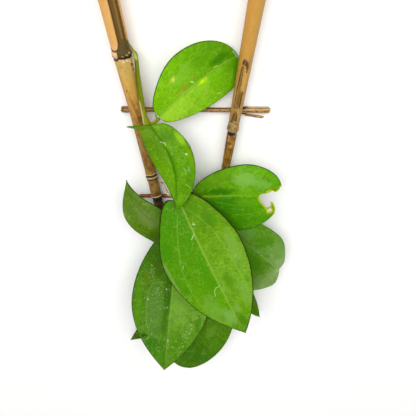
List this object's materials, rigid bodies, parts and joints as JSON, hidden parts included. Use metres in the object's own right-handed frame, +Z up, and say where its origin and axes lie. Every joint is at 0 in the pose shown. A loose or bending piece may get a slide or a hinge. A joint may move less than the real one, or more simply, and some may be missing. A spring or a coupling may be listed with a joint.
{
  "type": "climbing plant",
  "caption": "Young climbing hoya with oval waxy leaves on a twining stem, held by a V of bamboo canes with thin crossbars, laid down flat.",
  "frame": {"origin": "centre of the footprint, on the surface that the plant lies on", "axes": "+Y up the canes, away from the hanging leaf tips; +X to the right seen from above; +Z up from the surface, the way the leaf faces look"},
  "size_m": [0.1072, 0.2719, 0.0381],
  "materials": {
    "cane": "smooth tan bamboo skin with dark joints and brown blotches",
    "split_cane": "split bamboo, cream and dark fibres",
    "brown_cane": "thin reddish brown twig",
    "stem": "olive green living stem, satin",
    "dry_stalk": "pale dead flower stalk, matt",
    "leaf_bright": "thick waxy leaf, bright yellow-green",
    "leaf_green": "thick waxy leaf, fresh green with a dark margin",
    "leaf_grey": "thick waxy leaf, grey-green",
    "leaf_deep": "thick waxy leaf, deep green with pale specks",
    "leaf_olive": "thick waxy leaf, olive green",
    "leaf_shade": "thick waxy leaf, dark green"
  },
  "bodies": {
    "root": {"cane_left": "cane", "cane_right": "cane", "crossbar_upper": "split_cane", "crossbar_sliver": "split_cane", "crossbar_lower": "brown_cane", "vine_stem": "stem", "dry_stalk": "dry_stalk", "leaf_upper": "leaf_bright", "leaf_folded": "leaf_green", "leaf_front": "leaf_green", "leaf_bitten": "leaf_green", "leaf_right": "leaf_grey", "leaf_left": "leaf_grey", "leaf_speckled": "leaf_deep", "leaf_olive": "leaf_olive", "leaf_tucked_right": "leaf_shade", "leaf_tucked_left": "leaf_shade"}
  },
  "joints": []
}
